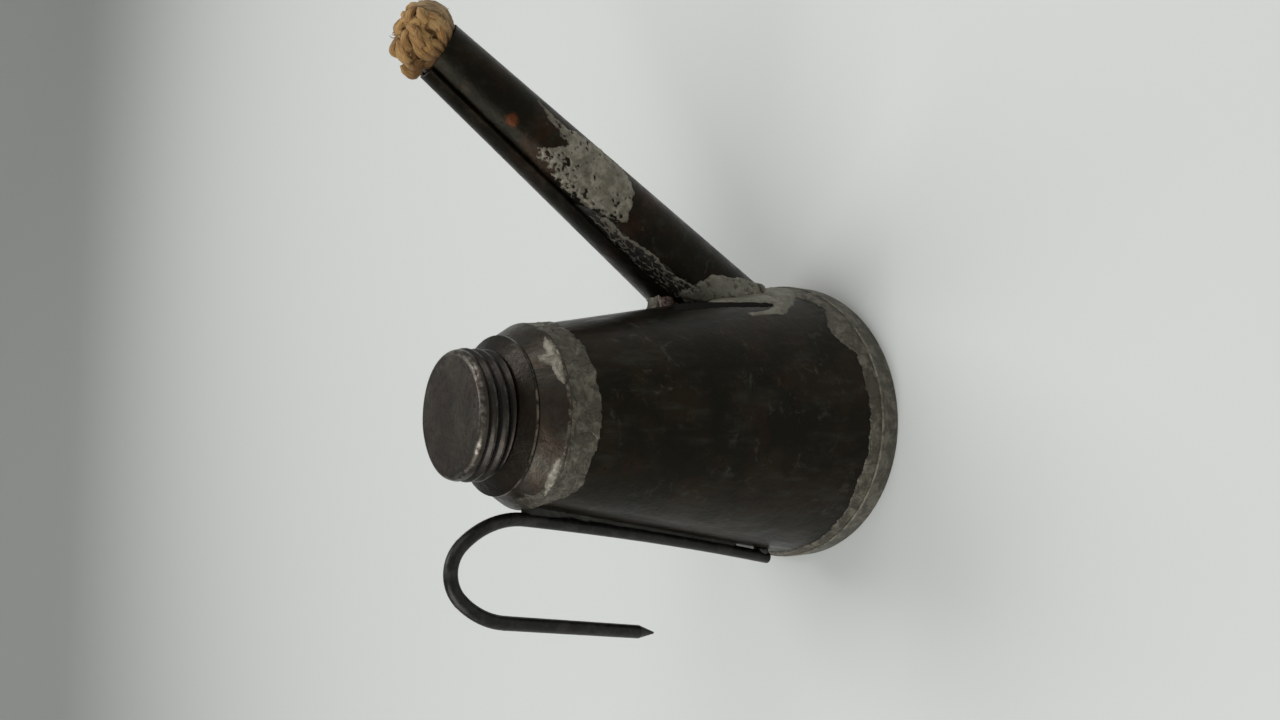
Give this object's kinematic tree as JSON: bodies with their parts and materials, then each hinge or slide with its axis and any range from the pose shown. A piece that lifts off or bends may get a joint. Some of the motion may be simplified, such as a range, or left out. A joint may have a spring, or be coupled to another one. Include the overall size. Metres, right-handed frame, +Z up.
{
  "type": "oil wick cap lamp",
  "caption": "Cone-shaped oil lamp with a long wick spout, a screw filler cap and a wire hook with a pointed end for a soft cap.",
  "frame": {"origin": "middle of the flat base, at the level the lamp stands on", "axes": "+Z up along the cone's axis; +X towards the spout, with the hook at -X; +Y across the lamp"},
  "size_m": [0.093, 0.048, 0.0744],
  "materials": {
    "tinplate": "dark patina on worn tinplate",
    "shoulder_tinplate": "brown patina on worn tinplate",
    "solder": "dull grey tin-lead solder",
    "collar_brass": "brown patina",
    "cap_brass": "brown-grey patina, worn on the rim and ridges",
    "cork": "oil-stained cork",
    "copper": "dull pink copper",
    "hook_steel": "blackened steel wire",
    "wick_cotton": "loose tan cotton yarn"
  },
  "bodies": {
    "lamp": {"base_plate": "tinplate", "font_body": "tinplate", "spout_tube": "tinplate", "shoulder": "shoulder_tinplate", "base_solder": "solder", "body_seam_solder": "solder", "shoulder_solder": "solder", "neck_solder": "solder", "spout_root_solder": "solder", "spout_seam_solder": "solder", "spout_patch_solder": "solder", "hook_top_solder": "solder", "hook_foot_solder": "solder", "neck_collar": "collar_brass", "spout_bridge": "copper", "hook_wire": "hook_steel"},
    "cap_seal": {"cap_washer": "cork"},
    "cap": {"screw_cap": "cap_brass"},
    "wick": {"wick_core": "wick_cotton", "wick_tail": "wick_cotton", "wick_tuft": "wick_cotton"}
  },
  "joints": [
    {"name": "cap_lift", "type": "slide", "parent": "lamp", "child": "cap_seal", "axis": [0, 0, 1], "range_m": [0, 0.00481]},
    {"name": "cap_turn", "type": "hinge", "parent": "cap_seal", "child": "cap", "pos_m": [0, 0, 0.065], "axis": [0, 0, 1], "range_deg": [0, 1080]},
    {"name": "wick_feed", "type": "slide", "parent": "lamp", "child": "wick", "axis": [0.5461, 0, 0.8377], "range_m": [0, 0.015]}
  ],
  "couplings": [
    {"joint": "cap_lift", "follows": "cap_turn", "m_per_rad": 0.00025465}
  ]
}
